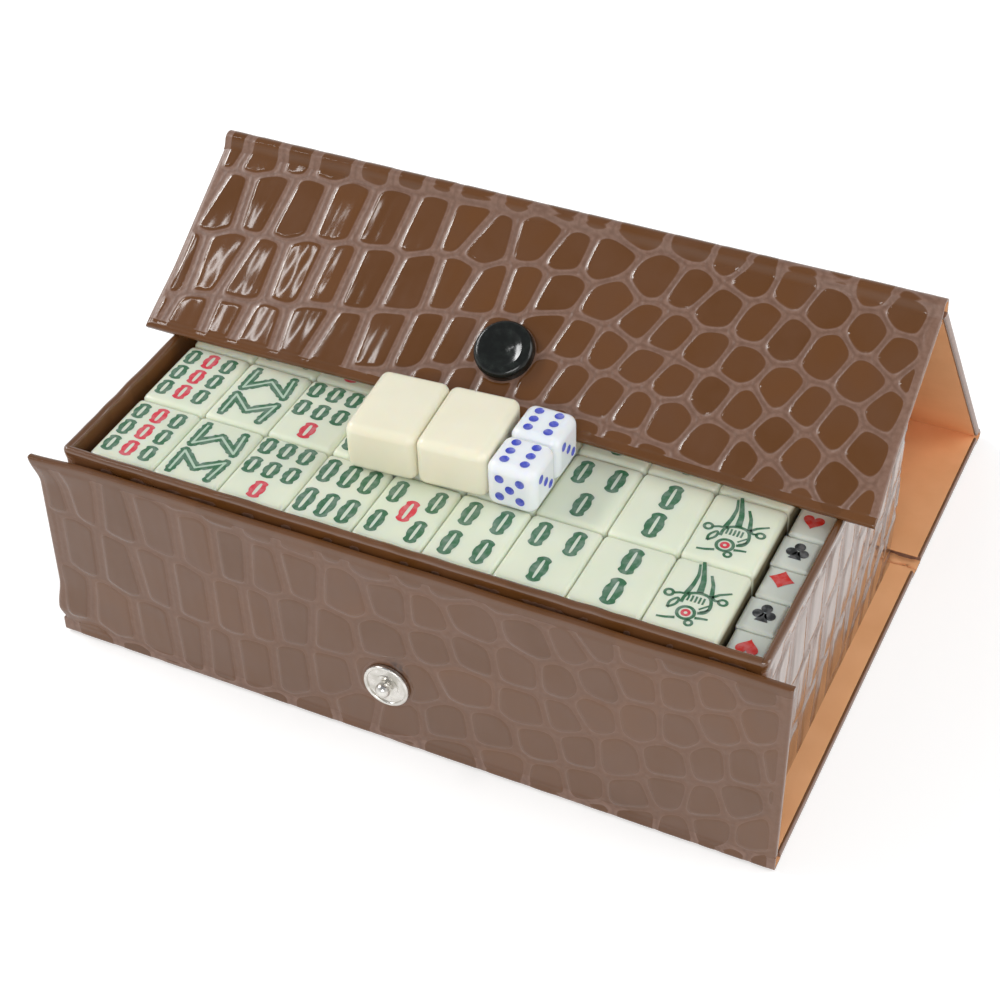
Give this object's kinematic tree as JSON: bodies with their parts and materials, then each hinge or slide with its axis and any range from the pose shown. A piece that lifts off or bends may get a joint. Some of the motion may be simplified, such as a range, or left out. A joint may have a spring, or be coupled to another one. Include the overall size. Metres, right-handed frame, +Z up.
{
  "type": "mahjong case",
  "caption": "Folding travel case for a mahjong set: a board tray inside a hinged cover with a press stud, shown open with its tiles packed and spare tiles and dice on top.",
  "frame": {"origin": "on the surface that the case stands on, under the middle of the tray", "axes": "+X along the case to the right, +Y to the back where the cover is hinged, +Z up"},
  "size_m": [0.1616, 0.1461, 0.0763],
  "materials": {
    "skin": "glossy plastic skin embossed with a reptile scale pattern",
    "board": "plain grey board",
    "lining": "orange lining paper, satin",
    "cap": "black, polished",
    "metal": "nickel plated sheet steel",
    "tile": "ivory melamine, polished",
    "suit_block": "white plastic with printed suit signs",
    "dice": "white plastic with blue pips"
  },
  "bodies": {
    "tray": {"bottom_board": "board", "bottom_skin": "skin", "bottom_lining": "lining", "front_fold": "skin", "back_fold": "skin", "tray_floor": "board", "tray_floor_paper": "lining", "tray_front_wall": "board", "tray_back_wall": "board", "tray_left_wall": "board", "tray_right_wall": "board", "tray_wrap": "skin", "bamboo_tiles": "tile", "circle_tiles": "tile", "character_tiles": "tile", "honour_tiles": "tile", "suit_blocks_top": "suit_block", "suit_blocks_below": "suit_block"},
    "front_flap": {"front_flap_board": "board", "front_flap_skin": "skin", "front_flap_lining": "lining", "snap_stud": "metal", "snap_eyelet": "metal"},
    "back_panel": {"back_board": "board", "back_skin": "skin", "back_lining": "lining"},
    "lid": {"lid_fold": "skin", "lid_board": "board", "lid_skin": "skin", "lid_lining": "lining", "flap_fold": "skin"},
    "lid_flap": {"lid_flap_board": "board", "lid_flap_skin": "skin", "lid_flap_lining": "lining", "snap_cap": "cap", "snap_socket": "metal"},
    "left_blank": {"left_blank_tile": "tile"},
    "right_blank": {"right_blank_tile": "tile"},
    "near_die": {"front_die": "dice"},
    "far_die": {"back_die": "dice"}
  },
  "joints": [
    {"name": "front_flap_hinge", "type": "hinge", "parent": "tray", "child": "front_flap", "pos_m": [0, -0.04654, 0.00105], "axis": [1, 0, 0], "range_deg": [0, 79]},
    {"name": "back_hinge", "type": "hinge", "parent": "tray", "child": "back_panel", "pos_m": [0, 0.04464, 0.00105], "axis": [1, 0, 0], "range_deg": [0, 90]},
    {"name": "lid_hinge", "type": "hinge", "parent": "back_panel", "child": "lid", "pos_m": [0, 0.09484, 0.00105], "axis": [1, 0, 0], "range_deg": [-127, 0]},
    {"name": "lid_flap_hinge", "type": "hinge", "parent": "lid", "child": "lid_flap", "pos_m": [0, 0.03716, 0.07537], "axis": [1, 0, 0], "range_deg": [-85, 0]},
    {"name": "left_blank_lift", "type": "slide", "parent": "tray", "child": "left_blank", "axis": [0, 0, 1], "range_m": [0, 0.03]},
    {"name": "right_blank_lift", "type": "slide", "parent": "tray", "child": "right_blank", "axis": [0, 0, 1], "range_m": [0, 0.03]},
    {"name": "near_die_lift", "type": "slide", "parent": "tray", "child": "near_die", "axis": [0, 0, 1], "range_m": [0, 0.03]},
    {"name": "far_die_lift", "type": "slide", "parent": "tray", "child": "far_die", "axis": [0, 0, 1], "range_m": [0, 0.03]}
  ],
  "couplings": [
    {"joint": "lid_hinge", "follows": "back_hinge", "ratio": -1.411}
  ]
}
